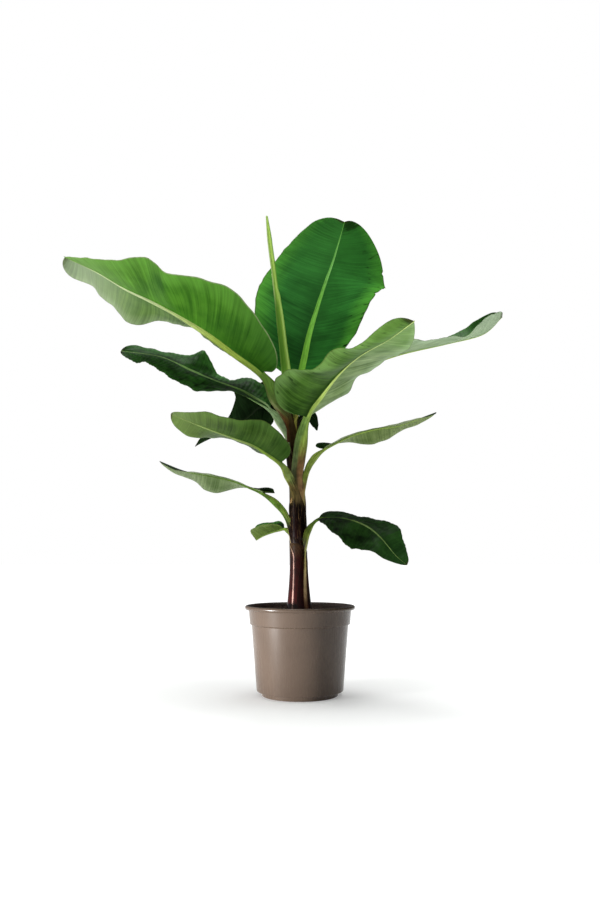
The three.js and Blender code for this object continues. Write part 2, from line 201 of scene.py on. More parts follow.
# Each leaf's line runs from inside the stem, along its stalk and rib, to its tip. It leaves the stem
# at its third knot, or where out says, and the blade begins at the next one. Lift and curl are the
# angles, foot to tip, by which a half rises from the rib and bends towards its edge. The stalk's two
# sizes are its half widths at the stem and at the blade. Keel and flank are the colours of the
# sheath's middle and sides by height above the floor, and span is where one gives way to the other.
leaves = {
    "upper_left_leaf": {
        "path": [(-16, -4, 540), (-37, -13, 612), (-60, -18, 671), (-91, -17, 723), (-182, -30, 795),
            (-296, -30, 871), (-413, -10, 935), (-490, 10, 985), (-579, 40, 1035)],
        "stalk": (23, 14.5), "tones": ("freshTop", "freshTop", "vividBack", "paleBack"), "seed": 3,
        "girth": 0.8,
        "keel": [(460, "#1c0e0a"), (550, "#3a2010"), (600, "#5f3c1c"), (632, "#7a5c34"), (652, "#a8b070"),
            (690, "#a0b860"), (760, "#a4c050"), (860, "#b4cc58"), (1090, "#d0e0a8")],
        "flank": [(460, "#140a08"), (550, "#241408"), (620, "#4a3a20"), (650, "#6f7c44"), (690, "#6f9440"),
            (760, "#7aa444"), (860, "#98b850")],
        "left": {"width": 145, "wide": 0.39, "low": 3.2, "high": 1.45, "back": 60,
            "lift": [8, 17, 24, 30, 19, 7, 17, 6, -2, -9, -15, -20], "curl": [20, 30, 30, 25, 20, 20]},
        "right": {"width": 101, "low": 4.2, "high": 2, "back": -50,
            "lift": [-3, -2, -2, -1, 2, -5, -12, -41, -33, -34, -32, -103]}},
    "back_leaf": {
        "path": [(-10, 10, 540), (-8, 30, 620), (-4, 38, 670), (2, 45, 728), (20, 75, 837), (43, 120, 929),
            (68, 165, 1020), (92, 215, 1103), (126, 290, 1240)],
        "stalk": (12, 10), "tones": ("deepTop", "fleckedTop", "midBack", "midBack"), "seed": 5,
        "girth": 0.85,
        "keel": [(460, "#3a1a18"), (600, "#4a2420"), (650, "#8aac44"), (720, "#90cc4c"), (900, "#80c44c"),
            (1100, "#68b048")],
        "flank": [(460, "#241014"), (600, "#2c1218"), (650, "#6a8a34"), (700, "#5aa030")],
        "left": {"width": 161, "wide": 0.47, "low": 2.2, "high": 2,
            "lift": [35, 39, 38, 29, 22, 23, 28, 50]},
        "right": {"width": 156, "wide": 0.62, "low": 1.85, "high": 1.43, "back": 7,
            "lift": [0, -11, -13, -5, -6, -20, -36, -27, -12, 20],
            "notches": [(0.46, 5, 0.012), (0.53, 6, 0.014), (0.585, 8, 0.016), (0.72, 4, 0.01)]}},
    "far_right_leaf": {
        "path": [(0, 8, 560), (12, 14, 630), (40, 18, 685), (83, 20, 721), (157, 45, 761), (250, 80, 801),
            (368, 110, 835), (465, 125, 864), (517, 130, 911)],
        "stalk": (12, 8), "tones": ("darkTop", "darkTop", "mintBack", "mintBack"), "seed": 7,
        "keel": [(460, "#3a2016"), (560, "#4d3a1c"), (640, "#a89f4a"), (700, "#a4bc58")],
        "flank": [(460, "#1c1012"), (560, "#3a2418"), (640, "#a8a450"), (700, "#9fb850")],
        "left": {"width": 52, "wide": 0.5, "high": 3, "lift": [2, 5, 10, 16, 18, 18, 24, 40, 70, 95]},
        "right": {"width": 118, "wide": 0.4, "low": 2.4, "high": 2.4, "back": -8,
            "lift": [29, 28, 22, 5, -2, -2, -5, 11, 24, 24]}},
    "front_leaf": {
        "path": [(-2, -15, 400), (2, -25, 490), (5, -36, 555), (18, -55, 618), (48, -105, 659),
            (86, -165, 697), (123, -230, 716), (171, -310, 725), (211, -390, 737)],
        "stalk": (14, 9), "tones": ("deepTop", "deepTop", "silkBack", "lobeBack"), "seed": 11,
        "girth": 0.85, "wrap": 115,
        "keel": [(400, "#8a6c48"), (470, "#957550"), (520, "#7a5c38"), (556, "#8fa048"), (590, "#9aba56"),
            (640, "#a4c25a"), (720, "#c2da74"), (900, "#d0e48c")],
        "flank": [(400, "#4a3c28"), (450, "#544c2e"), (500, "#566040"), (560, "#748c50"), (600, "#84aa54"),
            (720, "#b4d060")],
        "left": {"width": 106, "wide": 0.49, "low": 2.9, "high": 1.2, "back": -30,
            "lift": [22, 16, 24, 15, 13, 7, 2, -2, 9, 46]},
        "right": {"width": 121, "wide": 0.33, "low": 3.1,
            "lift": [-31, -10, -21, -32, -44, -46, -34, -39, -27, 11], "curl": [60, 60, 60, 50, 40, 20]}},
    "dark_left_leaf": {
        "path": [(-12, 8, 500), (-26, 14, 570), (-48, 14, 618), (-75, 8, 649), (-135, 20, 692),
            (-194, 30, 719), (-265, 40, 750), (-337, 45, 784), (-436, 50, 800)],
        "stalk": (12, 8), "tones": ("darkTop", "darkTop", "midBack", "midBack"), "seed": 13,
        "crinkle": 3.0, "girth": 1.0,
        "keel": [(440, "#1f120a"), (540, "#2c1c0c"), (572, "#b4c48c"), (640, "#c4dca4"), (700, "#7fa45c"),
            (860, "#9cc878"), (1000, "#8fb46c")],
        "flank": [(440, "#140c06"), (540, "#1c1408"), (580, "#a0b886"), (640, "#a0c088")],
        "left": {"width": 81, "wide": 0.39, "low": 2.5, "high": 1.8, "back": -10,
            "lift": [-13, -12, -16, -26, -36, -35, -34, -34, -33, -44, -39]},
        "right": {"width": 78, "lift": [8, 41, 39, 21, 20, 55, 29, 25, 35, 63]}},
    "behind_left_leaf": {
        "path": [(-8, 14, 520), (-28, 28, 590), (-46, 40, 628), (-60, 50, 646), (-85, 66, 664),
            (-104, 84, 664), (-122, 104, 652), (-150, 122, 637), (-205, 145, 620), (-267, 165, 582)],
        "stalk": (10, 6), "tones": ("nightBack", "nightBack", "darkTop", "darkTop"), "seed": 17,
        # the near-black green of this stalk and of the blade's tops is painted shade
        "keel": [(440, "#2a1410"), (560, "#2c1812"), (640, "#1c2a14")],
        "flank": [(440, "#1c0e0c"), (560, "#1c1010"), (640, "#141f0f")],
        "left": {"width": 50, "wide": 0.31, "low": 3, "high": 1.2, "back": 24,
            "lift": [-95, -84, -60, -48, -40]},
        "right": {"width": 100, "wide": 0.4, "low": 2.4, "high": 4.5, "back": -130,
            "lift": [58, 56, 60, 67, 73, 68, 50, 34, 32, 34, 36]}},
    "behind_right_leaf": {
        "path": [(-6, 14, 530), (-8, 34, 590), (-2, 52, 625), (10, 70, 645), (23, 88, 650), (35, 104, 644),
            (46, 118, 630)],
        "stalk": (8, 5), "tones": ("nightBack", "nightBack", "darkTop", "darkTop"), "seed": 19,
        # the near-black green of this stalk and of the blade's tops is painted shade
        "keel": [(440, "#3a2014"), (560, "#3a2416"), (640, "#1c2a14")],
        "flank": [(440, "#241010"), (560, "#2c1614"), (640, "#141f0f")],
        "left": {"width": 40, "wide": 0.6, "low": 3, "high": 5, "lift": [62, 62]},
        "right": {"width": 34, "wide": 0.6, "low": 3, "high": 5, "lift": [-70, -70]}},
    "mid_left_leaf": {
        "path": [(-8, -12, 370), (-18, -28, 450), (-30, -42, 485), (-47, -60, 510), (-93, -85, 543),
            (-144, -110, 561), (-203, -130, 580), (-278, -140, 609)],
        "stalk": (14, 8), "tones": ("deepTop", "deepTop", "midBack", "midBack"), "seed": 23,
        "keel": [(300, "#1c0808"), (424, "#100806"), (431, "#4f4426"), (464, "#5a5028"), (477, "#7f8c46"),
            (560, "#7a983a"), (640, "#93a860")],
        "flank": [(300, "#380808"), (330, "#140806"), (420, "#0c0705"), (429, "#453a22"), (470, "#4f4626"),
            (482, "#748648"), (560, "#6a8c36")],
        "left": {"width": 79, "wide": 0.38, "low": 2.7, "high": 2,
            "lift": [25, 18, 16, 18, 6, 6, 7, -1, -3], "curl": [20, 30, 20, 10]},
        "right": {"width": 76, "wide": 0.57, "start": 0.1, "lift": [29, 4, 8, 8, 1, -8, -19, -24]}},
    "mid_right_leaf": {
        "path": [(4, 0, 370), (13.5, 2, 455), (20, 3, 500), (33.5, 4, 529), (60, 5, 553), (112, 10, 583),
            (174, 15, 602), (236, 20, 612), (323, 25, 644)],
        "out": 3, "stalk": (12, 8), "tones": ("nightTop", "nightTop", "midRightBack", "midRightBack"),
        "seed": 29, "crinkle": 0.45, "turn": -60,
        "keel": [(300, "#2a0c08"), (350, "#3a3814"), (385, "#8a8450"), (430, "#a89c64"), (500, "#9aa450"),
            (560, "#8fac48")],
        "flank": [(300, "#380808"), (330, "#1c0806"), (420, "#240f0a"), (429, "#a8895c"), (458, "#9a7c50"),
            (482, "#7f9440"), (580, "#88a048")],
        "span": (0.02, 0.14),
        "left": {"width": 46, "wide": 0.33, "low": 3.1, "lift": [6, -1, -21, -44, -34, -15, -22, -23],
            "ear": {"width": 19, "lift": 40, "at": 0.04, "back": 20}},
        "right": {"width": 52, "back": 25, "lift": [4, 0, -3, -6, -3, 1, -7, -20]}},
    "low_left_leaf": {
        "path": [(-10, 0, 270), (-23, 2, 345), (-35.5, 3, 394), (-56.5, 4, 425), (-89.5, 5, 449),
            (-123, 8, 467), (-163, 12, 482), (-227, 18, 495), (-272, 22, 504), (-330, 25, 527)],
        "out": 3, "stalk": (12, 8), "tones": ("nightTop", "nightTop", "lowBack", "lowBack"), "seed": 31,
        "crinkle": 0.45, "turn": 50,
        # low down the pale pink keel is a painted highlight: the shine line down the stem's left side
        "keel": [(190, "#c08c7c"), (300, "#b8887a"), (335, "#a08a5c"), (365, "#8a8c48"), (420, "#6f8c34"),
            (500, "#6f8c3c")],
        "flank": [(190, "#340705"), (290, "#280503"), (325, "#140402"), (372, "#120a08"), (396, "#4c6422"),
            (430, "#56762a")],
        "span": (0.015, 0.06),
        "left": {"width": 50, "back": 25, "lift": [10, 0, 0, 0, 0, -5, -10, -10]},
        "right": {"width": 58, "wide": 0.5, "lift": [20, 0, -15, -35, -35, -15, -20, -20],
            "ear": {"width": 12, "lift": 56, "at": 0.02, "back": 27}}},
    "low_right_leaf": {
        "path": [(8, -4, 250), (14, -9, 320), (20.5, -17, 361), (42.5, -30, 387), (93, -60, 390),
            (142, -80, 373), (173, -95, 347), (204, -105, 308), (228, -110, 287)],
        "turn": -20, "wrap": 45, "stalk": (10, 6), "tones": ("nightTop", "nightTop", "midBack", "midBack"),
        "seed": 37, "crinkle": 2.6,
        # low down the cream keel is the sheath's own tan with a painted highlight down the stem's right
        # side
        "keel": [(190, "#a06048"), (235, "#e0c090"), (290, "#c8b878"), (335, "#98a050"), (360, "#7f9440"),
            (395, "#6a8a34"), (415, "#34521e"), (450, "#45682c"), (500, "#7f9c58")],
        "flank": [(190, "#3a0808"), (290, "#240604"), (325, "#2c1c0c"), (346, "#5f6c28"),
            (400, "#56782a")],
        "span": (0.09, 0.34),
        "left": {"width": 56, "lift": [38, 19, 11, 13, 33, 53, 47, 56]},
        "right": {"width": 64, "low": 2.1, "back": -12, "lift": [-11, -20, -39, -55, -59, -27, -18, -2]}},
    "lowest_leaf": {
        "path": [(-10, 6, 310), (-20, 14, 348), (-31, 20, 364), (-38, 24, 366), (-48, 29, 365),
            (-64, 38, 361), (-86, 52, 353), (-104, 65, 343)],
        "stalk": (8, 4), "tones": ("darkTop", "darkTop", "oliveBack", "oliveBack"), "seed": 41,
        "sheathDrop": 130, "turn": 93, "openOver": 60,
        # low down the pale pink keel is a painted highlight, part of the shine line down the stem's left
        # side
        "keel": [(190, "#c0988c"), (312, "#a88478"), (345, "#5d6b2c"), (365, "#6f8434")],
        "flank": [(190, "#2e0605"), (300, "#1e0403"), (345, "#3a2a16"), (365, "#5a7428")],
        "span": (0.0, 0.045),
        "left": {"width": 34, "wide": 0.5, "high": 3.5, "lift": [35, 32, 36, 55]},
        "right": {"width": 40, "wide": 0.6, "low": 2.9, "high": 4, "back": -10, "lift": [42, 45, 55, 80]}},
}

# How every blade, stalk and sheath is made, whatever its outline
bladeMake = {
    "thickness": 0.8,        # a living blade is thinner, this is as thin as meshes well
    "edgeLoss": 0.45,        # share of the thickness that is gone at the margin
    "rowStep": 2.6,          # distance between rows along the rib
    "stalkStep": 4,          # and along stalk and sheath
    "halfSamples": 24,       # samples from the rib's edge to the margin
    "ribShares": [0, 0.3, 0.55, 0.75, 0.9, 1.0, 1.12, 1.3],
    "ribTipRadius": 1.2,
    "ribTaper": 1.3,
    "ribDepth": 1.0,         # in rib radii
    "stalkDepth": 1.25,
    "groove": 0.35,          # depth of the channel on top of the rib, in rib radii
    "wing": 0.8,             # thin margin beside a stalk
    "wingLift": 32,          # and the angle by which it rises
    "ribGirth": 0.63,        # the rib's own half width over the stalk's
    "seat": 0.5,             # how far the channel stands over the stalk's line, in rib radii
    "veinLean": 0.10,        # the lateral veins leave the rib steeply
    "veinSweep": 0.0016,     # and lean towards the tip at the margin
    "pleatPitch": 11.0,      # distance between the raised lateral veins
    "pleatHeight": 0.30,
    "pleatStray": [(2.4, 37), (1.7, 61)],    # radians by which they stray, over these lengths
    "swellLength": 83,       # they swell and fade over this length
    "buckleHeight": 0.9,     # dents between the veins of a crinkled blade
    "buckleLengths": (14, 17, 8.5, 29),
    "rippleHeight": 1.6,     # gentle waves of the margin
    "rippleLengths": (9.5, 5.7),
    "calmUnder": 40,         # a half narrower than this is flatter
    "earRun": 0.035,         # length of an ear beside the blade's foot, over the blade's
    "sheathThick": 2.2,
}


def fullness(half, t):
    # a half's width over its greatest width: rounded on both sides of its widest place
    wide, low, high = half.get("wide", 0.42), half.get("low", 2.3), half.get("high", 1.9)
    start = half.get("start", 0)
    place = np.clip((t - start) / (1 - start), 0, 1)
    offset = np.where(place < wide, (wide - place) / wide, (place - wide) / (1 - wide))
    power = np.where(place < wide, low, high)
    return np.maximum(0, 1 - np.clip(offset, 0, 1) ** power) ** (1 / power)


def notched(half, t):
    # small tears that run in from the margin: place, depth and length along the rib
    cut = np.zeros_like(t)
    for place, depth, span in half.get("notches", []):
        cut += depth * np.clip(1 - np.abs(t - place) / span, 0, 1)
    return cut


def leaving(leaf):
    # the place where a leaf leaves the stem
    return leaf["path"][leaf.get("out", 2)]


def leafRows(leaf):
    # what the cross-sections need, row by row from the sheath to the blade's tip
    make, path = bladeMake, np.array(leaf["path"], float)
    out = leaf.get("out", 2)
    ends = [0, out, out + 1, len(path) - 1]
    base, stalk, blade = [stretch(path, first, last, [0])[2] for first, last in zip(ends, ends[1:])]
    even = np.linspace(0, 1, max(36, int(blade / make["rowStep"])))
    shares = [np.linspace(0, 1, max(12, int(base / make["stalkStep"])), endpoint=False),
              np.linspace(0, 1, max(8, int(stalk / make["stalkStep"])), endpoint=False),
              0.75 * even + 0.25 * (0.5 - 0.5 * np.cos(np.pi * even))]
    runs = [stretch(path, first, last, t)[:2] for first, last, t in zip(ends, ends[1:], shares)]
    place, along = [np.concatenate(parts) for parts in zip(*runs)]
    kind = np.repeat([0, 1, 2], [len(t) for t in shares])
    t = np.concatenate(shares)
    distance = np.select([kind == 0, kind == 1], [(t - 1) * base - stalk, (t - 1) * stalk], t * blade)
    level = np.cross(path[-1] - path[out + 1], up)
    level /= np.linalg.norm(level)
    side = level - along * (along @ level)[:, None]
    side /= np.linalg.norm(side, axis=1)[:, None]
    outer, foot = leaf["stalk"]
    tip = make["ribTipRadius"]
    radius = np.select([kind == 0, kind == 1], [outer, outer + (foot - outer) * ease(t)],
                       tip + (foot - tip) * (1 - t) ** make["ribTaper"])
    rows = {"place": place, "along": along, "side": side, "above": np.cross(side, along), "kind": kind,
            "t": t, "distance": distance, "radius": radius * leaf.get("girth", make["ribGirth"]),
            "reach": path[out, 2] + stalk + distance}
    return {key: value[:, None] for key, value in rows.items()}


def bladeHalf(leaf, key, rows, phases):
    # one half's upper and under points, with the places of its veins and colours
    make, half = bladeMake, leaf[key]
    sign = -1 if key == "left" else 1
    crinkle = leaf.get("crinkle", 1.0)
    t, kind, radius, run = rows["t"], rows["kind"], rows["radius"], rows["distance"]
    isBlade = kind == 2
    bladeT = np.where(isBlade, t, 0)
    opened = ease(np.where(kind == 1, t, isBlade))
    # the half's width, with the ear that a few have beside their foot
    narrow = make["ribShares"][-1] * radius + make["wing"]
    full = fullness(half, bladeT)
    width = np.maximum(half["width"] * full - notched(half, bladeT), narrow)
    ear = half.get("ear", {"width": 0, "lift": 0, "at": -1, "back": 0})
    lobe = np.exp(-((bladeT - ear["at"]) / make["earRun"]) ** 4) * isBlade
    width = np.maximum(width, narrow + ear["width"] * lobe)
    # how it rises and bends
    lift = np.radians(smoothAlong(half["lift"], bladeT))
    lift = lift + (np.radians(ear["lift"]) - lift) * lobe
    wing = np.radians(make["wingLift"])
    lift = wing + (lift - wing) * opened
    curl = np.radians(smoothAlong(half.get("curl", [0, 0]), bladeT)) * opened
    rib = radius * np.array(make["ribShares"])
    outward = np.linspace(0, 1, make["halfSamples"] + 1)[1:]
    d = np.concatenate([rib, rib[:, -1:] + (width - rib[:, -1:]) * outward], 1)
    a = d / width
    bend = curl * a
    chord = d * np.sinc(bend / fullTurn)
    sideways, rise = chord * np.cos(lift + bend / 2), chord * np.sin(lift + bend / 2)
    # pleats follow the lateral veins, and a crinkled blade buckles between them
    vein = run - make["veinLean"] * d - make["veinSweep"] * d ** 2
    stray = [size * np.sin(vein / length + phase)
             for (size, length), phase in zip(make["pleatStray"], phases)]
    wave = np.sin(fullTurn * vein / make["pleatPitch"] + sum(stray))
    swell = 0.55 + 0.45 * np.sin(vein / make["swellLength"] + phases[2] + sign)
    ahead, weave, outside, lean = make["buckleLengths"]
    buckle = np.sin(vein / ahead + 3 * np.sin(d / weave + phases[5]))
    buckle = buckle * np.sin(d / outside + phases[4] + vein / lean)
    pleat = make["pleatHeight"] * crinkle * wave * swell
    pleat = pleat + make["buckleHeight"] * max(0, crinkle - 1) * buckle
    pleat = pleat * ease((a - 0.04) / 0.25) * (1 - 0.35 * a ** 2) * isBlade
    long, short = make["rippleLengths"]
    ripple = np.sin(run / long + phases[3] + sign) + 0.8 * np.sin(run / short + phases[4] - sign)
    ripple = ripple * 0.5 * make["rippleHeight"] * crinkle ** 0.5 * a ** 4 * np.sin(np.pi * bladeT) ** 0.5
    rise = rise + (pleat + ripple) * np.minimum(1, width / make["calmUnder"])
    rise = rise + make["seat"] * radius * (1 - ease(bladeT / 0.15))
    back = a ** 2 * (half.get("back", 0) * (1 - bladeT) ** 4 * full + ear["back"] * lobe)
    point = (rows["place"] + sign * rows["side"] * sideways[..., None]
             + rows["above"] * rise[..., None] - rows["along"] * back[..., None])
    # the blade's thickness, with the rib's keel below and its channel above
    tilt = (lift + bend)[..., None]
    square = rows["above"] * np.cos(tilt) - sign * rows["side"] * np.sin(tilt)
    square[:, :1] = rows["above"]
    thick = make["thickness"] * (1 - make["edgeLoss"] * a ** 6)
    depth = make["stalkDepth"] + (make["ribDepth"] - make["stalkDepth"]) * opened
    keel = depth * radius * np.sqrt(1 - np.clip(d / (1.15 * radius), 0, 1) ** 2)
    dip = make["groove"] * radius * np.exp(-(d / (0.55 * radius)) ** 2)
    return (point + square * (thick / 2 - dip)[..., None], point - square * (thick / 2 + keel)[..., None],
            np.stack([vein, sign * d], -1) / metre, np.stack([bladeT + 0 * a, np.clip(a, 0, 1)], -1),
            sign * a)


def sheathRing(leaf, height, share, angle):
    # inner and outer points of a sheath that wraps the stem, under the sheaths of all lower leaves
    x, y, radius = stemAt(height)
    for other in leaves.values():
        below = leaving(other)[2]
        if below < leaving(leaf)[2]:
            radius = radius - stem["wall"] * ease((below - height) / stem["wallRise"])
    outward = np.stack([np.cos(angle), np.sin(angle), np.zeros_like(angle)], -1)
    middle = np.stack([x, y, height], -1)
    thin = bladeMake["sheathThick"] * (1 - 0.75 * np.abs(share) ** 3)
    return middle + outward * (radius - thin)[..., None], middle + outward * radius[..., None]


def leafPiece(name, leaf, materials):
    make, rows = bladeMake, leafRows(leaf)
    phases = np.random.default_rng(leaf["seed"]).uniform(0, fullTurn, 6)
    halves = [bladeHalf(leaf, key, rows, phases) for key in ("left", "right")]
    grids = [np.concatenate([left[:, ::-1], right[:, 1:]], 1) for left, right in zip(*halves)]
    grids += [rows["kind"], rows["t"], rows["reach"], rows["place"][..., 2]]

    # towards the stem the stalk opens into a sheath that wraps it and goes on down
    (x, y, top), low = leaving(leaf), leaf["path"][0][2]
    stemX, stemY, radius = stemAt(top)
    azimuth = math.atan2(y - stemY, x - stemX)
    sheathFoot = max(stem["soilTop"] - stem["sunk"], low - leaf.get("sheathDrop", 90))
    below = np.arange(sheathFoot, low - 2, 5.0)
    upper, under, veinMap, placeMap, signed, kind, t, reach, height = [
        np.concatenate([np.repeat(grid[:1], len(below), 0), grid]) for grid in grids]
    height[:len(below), 0] = below
    isBase = kind == 0
    opening = ease((top - height) / leaf.get("openOver", 150))
    stalkWidth = leaf["stalk"][0] * leaf.get("girth", make["ribGirth"])
    start = math.asin(min(0.95, 1.4 * stalkWidth / stem["usualRadius"]))
    alpha = start + (math.radians(leaf.get("wrap", 140)) - start) * opening
    blend = np.where(isBase, ease((t - 0.35) / 0.65), 1)
    samples = upper.shape[1]
    evenShare = np.linspace(-1, 1, samples)
    share = evenShare + (signed - evenShare) * ease((blend - 0.2) / 0.8)
    facing = azimuth + math.radians(leaf.get("turn", 0)) * opening
    inner, outer = sheathRing(leaf, height, share, facing - share * alpha)
    mix = blend[..., None]
    upper, under = inner * (1 - mix) + upper * mix, outer * (1 - mix) + under * mix

    # places for the patterns, and one slot for each side of each half and for rib and sheath
    aside = np.abs(share)
    wrapped = np.stack([height - top + 0 * share, share * alpha * stem["usualRadius"]], -1) / metre
    maps = {"veinMap": np.where(isBase[..., None], wrapped, veinMap),
            "placeMap": np.stack([placeMap[..., 0], np.where(isBase, aside, placeMap[..., 1])], -1),
            "stemMap": np.stack([np.where(isBase, height, reach) / metre + 0 * share, aside], -1)}
    maps = {key: np.concatenate([grid, grid[:, ::-1]], 1) for key, grid in maps.items()}
    points = np.concatenate([upper, under[:, ::-1]], 1)
    faces, owners = stripFaces(*points.shape[:2])
    row, place = np.divmod(owners, points.shape[1])
    column = np.where(place < samples, place, 2 * samples - 1 - place)
    middle = samples // 2
    slots = np.where(place < samples, 0, 2) + (column >= middle)
    isRib = np.abs(column - middle) < len(make["ribShares"]) - 2
    slots = np.where((kind[row, 0] < 2) | isRib, 4, slots)
    piece = addPiece(name, points, faces, materials, slots, maps)
    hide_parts(name + "_stalk", name + "_blade")


# Living leaf blade: a waxed skin over green tissue, so a satin gloss with soft parallel streaks.
# The greens are the streaks' dark and light, the one beside the rib, mostly darker as painted shade in its
# crease, the margin's and the tip's.
bladeTones = {
    "deepTop": {"greens": ("#2b642a", "#3d873b", "#255426", "#67bc45", "#46903d"), "gloss": 0.0},
    "fleckedTop": {"greens": ("#2a6428", "#3b8738", "#2c5e28", "#64bc42", "#3c8434"), "gloss": 0.0,
        "flecks": "#1c3a14"},
    "darkTop": {"greens": ("#1b3814", "#478237", "#254f1c", "#4c863c", "#3c6e30"), "gloss": 0.09,
        "patchy": 0.6, "patchSize": 30},
    # dark green tops darkened further by painted shade, for the low leaves under the others
    "nightTop": {"greens": ("#0c1a08", "#2e5420", "#0e1e0a", "#26481c", "#33602a"), "gloss": 0.07,
        "patchy": 0.75, "patchSize": 30},
    "freshTop": {"greens": ("#1a4f16", "#3a7d28", "#1f5a1a", "#4f9a38", "#4c8438"), "gloss": 0.12},
    "vividBack": {"greens": ("#39751b", "#6caf36", "#569b2d", "#71b144", "#99c667"), "foot": "#2d5f1a",
        "gloss": 0.05, "edge": "#d1dfa8"},
    "paleBack": {"greens": ("#4b7b20", "#7eaa40", "#468323", "#afc88c", "#d5e0c4"), "spentTip": "#859662",
        "gloss": 0.08},
    "lobeBack": {"greens": ("#264814", "#5d8834", "#2c4c18", "#88b060", "#84b452"), "gloss": 0.06,
        "flecks": "#34501f"},
    "silkBack": {"greens": ("#547636", "#a4be80", "#6f9244", "#b4cc9c", "#86b45c"), "gloss": 0.1},
    "midBack": {"greens": ("#22420f", "#5c7e34", "#3c6220", "#587c36", "#94b060"), "foot": "#2c4c18",
        "gloss": 0.07},
    "midRightBack": {"greens": ("#546e30", "#8ea464", "#6f8c40", "#8ca068", "#94a66a"), "gloss": 0.1},
    "lowBack": {"greens": ("#506c34", "#94aa74", "#6d8c46", "#93a878", "#9cb07c"), "gloss": 0.1},
    "mintBack": {"greens": ("#6f9559", "#a9c38e", "#7fa35a", "#b4cda4", "#bed3b3"), "gloss": 0.18},
    "oliveBack": {"greens": ("#2d430d", "#586f27", "#455e1e", "#6a7e40", "#5f7334"), "gloss": 0.18},
    # near-black: the leaves behind the stem, their green darkened into painted shade
    "nightBack": {"greens": ("#0e1a0c", "#263c20", "#10190e", "#1e3218", "#1e3218"), "gloss": 0.0},
}


def waxedLeaf(add, tone):
    # IOR 1.45 is plant wax. The lateral veins lie 2.4 and 5.5 mm apart, in bands of 17 mm
    dark, light, creaseShade, margin, tip = tone["greens"]
    veins = add("UVMap", uv_map="veinMap")
    split = add("SeparateXYZ", [add("UVMap", uv_map="placeMap")])
    along, across = split.outputs["X"], split.outputs["Y"]
    layers = []
    for pitch, length, detail in ((2.4, 160, 2.0), (5.5, 220, 2.0), (17, 150, 3.0)):
        at = add("Mapping", {"Vector": veins, "Scale": (metre / pitch, metre / length, 1)})
        layers.append(add("TexNoise", {"Vector": at, "Scale": 1.0, "Detail": detail, "Roughness": 0.6}))
    patch = add("TexNoise", {"Vector": add("TexCoord").outputs["Object"], "Detail": 4.0,
                             "Scale": metre / tone.get("patchSize", 55)})
    fine = add("Mix", (0.5, layers[0], layers[1]))
    streak = add("Mix", (0.36, fine, layers[2]))
    blotch = add("Mix", (tone.get("patchy", 0.42), streak, patch))
    colour = add("ValToRGB", [blotch], stops=[(0.39, dark), (0.61, light)])
    # the greens that lie over the streaks have uneven borders
    sways = add("MapRange", (blotch, 0.3, 0.7, -0.12, 0.12), clamp=False)
    swayed = add("Math", (across, sways), operation="ADD")
    # beside the rib near the foot a darker green paints the shade in the rib's crease
    nearRib = add("MapRange", (swayed, 0.34, 0.02), **smooth)
    nearFoot = add("MapRange", (along, 0.1, 0.45, 0.9, 0.3))
    covers = [(add("Math", (nearRib, nearFoot), operation="MULTIPLY"), creaseShade),
              (add("MapRange", (swayed, 0.62, 1.0, 0.0, 0.75), **smooth), margin),
              (add("MapRange", (along, 0.4, 1.0, 0.0, 0.6), **smooth), tip)]
    if "foot" in tone:
        covers.append((add("MapRange", (along, 0.35, 0.0, 0.0, 0.75), **smooth), tone["foot"]))
    # dark flecks where a margin was bruised, and the browned tip and edge that every leaf has
    if "flecks" in tone:
        at = add("Mapping", {"Vector": veins, "Scale": (metre / 9, metre / 30, 1)})
        bruise = add("TexNoise", {"Vector": at, "Scale": 1.0, "Detail": 2.0})
        high = add("MapRange", (bruise, 0.62, 0.7))
        outer = add("MapRange", (across, 0.55, 0.75))
        covers.append((add("Math", (high, outer), operation="MULTIPLY"), tone["flecks"]))
        frayed = add("Math", (along, sways), operation="ADD")
        covers.append((add("MapRange", (frayed, 0.93, 0.98, 0.0, 0.9)), tone["flecks"]))
    covers.append((add("MapRange", (along, 0.975, 0.995, 0.0, 0.8)), tone.get("spentTip", "#3a2c16")))
    covers.append((add("MapRange", (across, 0.975, 0.99, 0.0, 0.55)), tone.get("edge", "#5a6a30")))
    for amount, cover in covers:
        colour = add("Mix", (amount, colour, cover), **inColour)
    # the veins stay readable over every tone
    shade = add("MapRange", (fine, 0.36, 0.6, 0.85, 1.08))
    colour = add("Mix", (1.0, colour, shade), **shading)
    bump = add("Bump", {"Height": streak, "Strength": 0.6, "Distance": 0.0006})
    skin = add("BsdfPrincipled", {"Base Color": colour, "Normal": bump, "IOR": 1.45, "Roughness": 0.42,
                                  "Specular IOR Level": tone["gloss"]})
    return add("MixShader", (0.3, skin, add("BsdfTranslucent", {"Color": colour, "Normal": bump})))


# The heights over which a sheath's colours are dealt out, and its usual span
sheathSpan = {"low": 185.0, "high": 1100.0, "across": (0.08, 0.34)}


